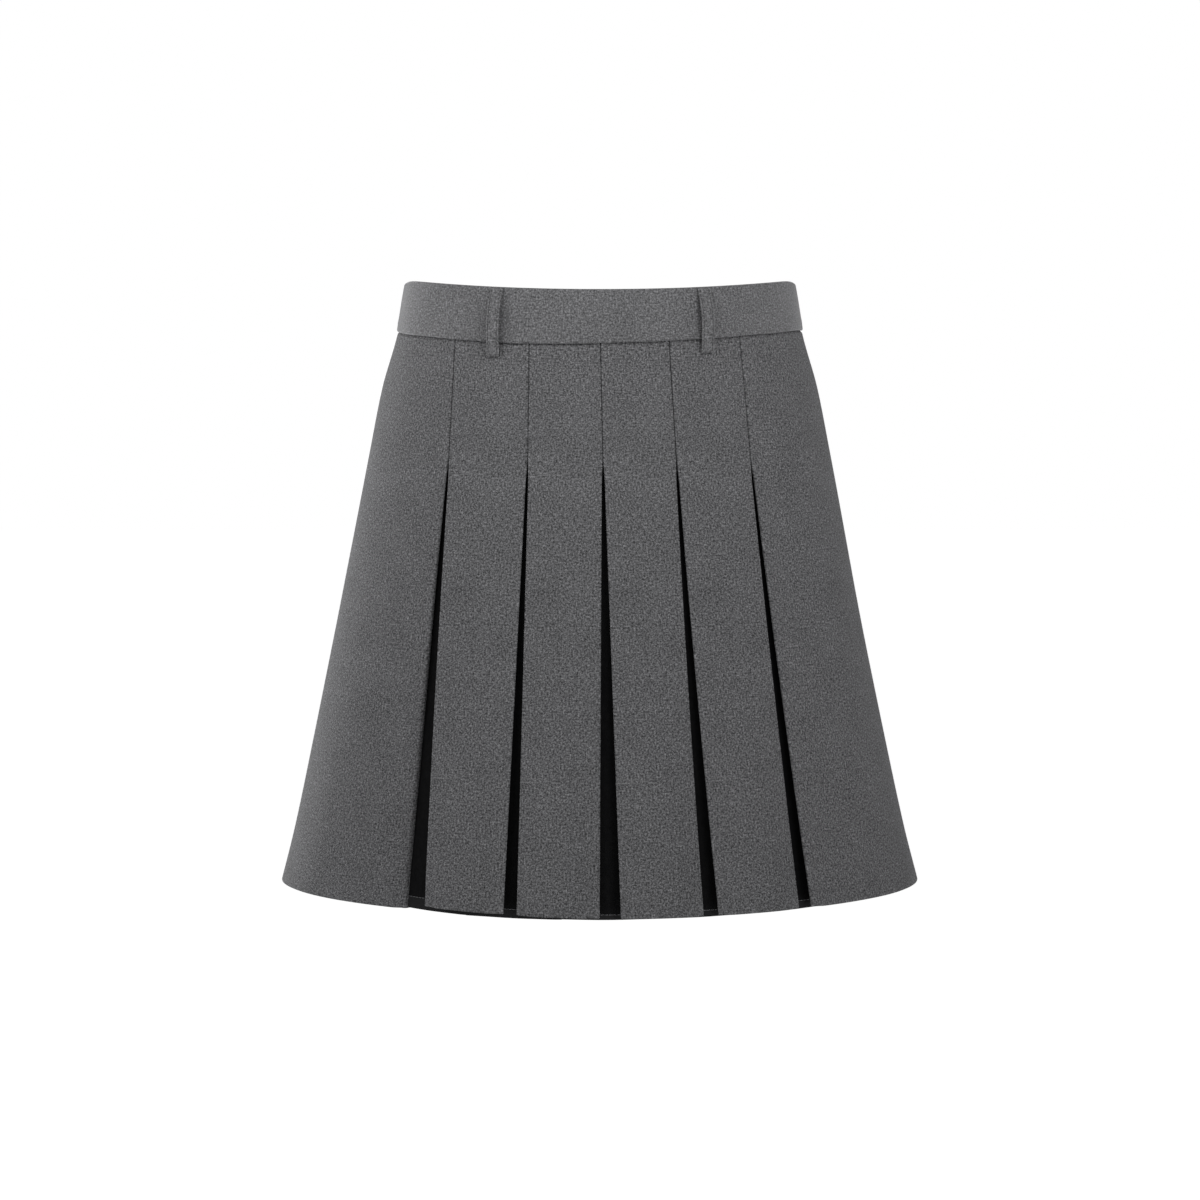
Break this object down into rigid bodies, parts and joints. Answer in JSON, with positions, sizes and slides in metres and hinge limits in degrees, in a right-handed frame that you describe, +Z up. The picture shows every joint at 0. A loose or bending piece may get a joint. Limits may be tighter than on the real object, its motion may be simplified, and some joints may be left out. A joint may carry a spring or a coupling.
{
  "type": "pleated skirt",
  "caption": "Short flared skirt with stitched-down inverted box pleats over black inlays, a shaped waistband with belt loops and a concealed side zip.",
  "frame": {"origin": "middle of the waistband, on the body's axis, halfway up the band at its sides", "axes": "+Z up along the body towards the waist, -Y the way the wearer faces, +X the wearer's left, where the zip is"},
  "size_m": [0.4189, 0.2947, 0.3954],
  "materials": {
    "wool_twill": "matte melange twill",
    "black_lining": "smooth matte weave",
    "zip_tape": "matte woven tape",
    "zip_metal": "satin lacquer"
  },
  "bodies": {
    "skirt": {"gore_front_1": "wool_twill", "gore_front_2": "wool_twill", "gore_front_3": "wool_twill", "gore_front_4": "wool_twill", "gore_front_5": "wool_twill", "gore_front_6": "wool_twill", "gore_back_1": "wool_twill", "gore_back_2": "wool_twill", "gore_back_3": "wool_twill", "gore_back_4": "wool_twill", "gore_back_5": "wool_twill", "gore_back_6": "wool_twill", "inlay_front_1": "black_lining", "inlay_front_2": "black_lining", "inlay_front_3": "black_lining", "inlay_front_4": "black_lining", "inlay_front_5": "black_lining", "inlay_back_1": "black_lining", "inlay_back_2": "black_lining", "inlay_back_3": "black_lining", "inlay_back_4": "black_lining", "inlay_back_5": "black_lining", "waistband_front": "wool_twill", "waistband_back": "wool_twill", "belt_loop_front_left": "wool_twill", "belt_loop_front_right": "wool_twill", "belt_loop_back_left": "wool_twill", "belt_loop_back_right": "wool_twill", "zip_tape": "zip_tape", "zip_slider": "zip_metal"},
    "zip_pull": {"zip_pull": "zip_metal"}
  },
  "joints": [
    {"name": "zip_pull_hinge", "type": "hinge", "parent": "skirt", "child": "zip_pull", "pos_m": [0.12552, 0.02472, 0.01235], "axis": [0.3043, -0.9526, 0], "range_deg": [0, 150]}
  ]
}
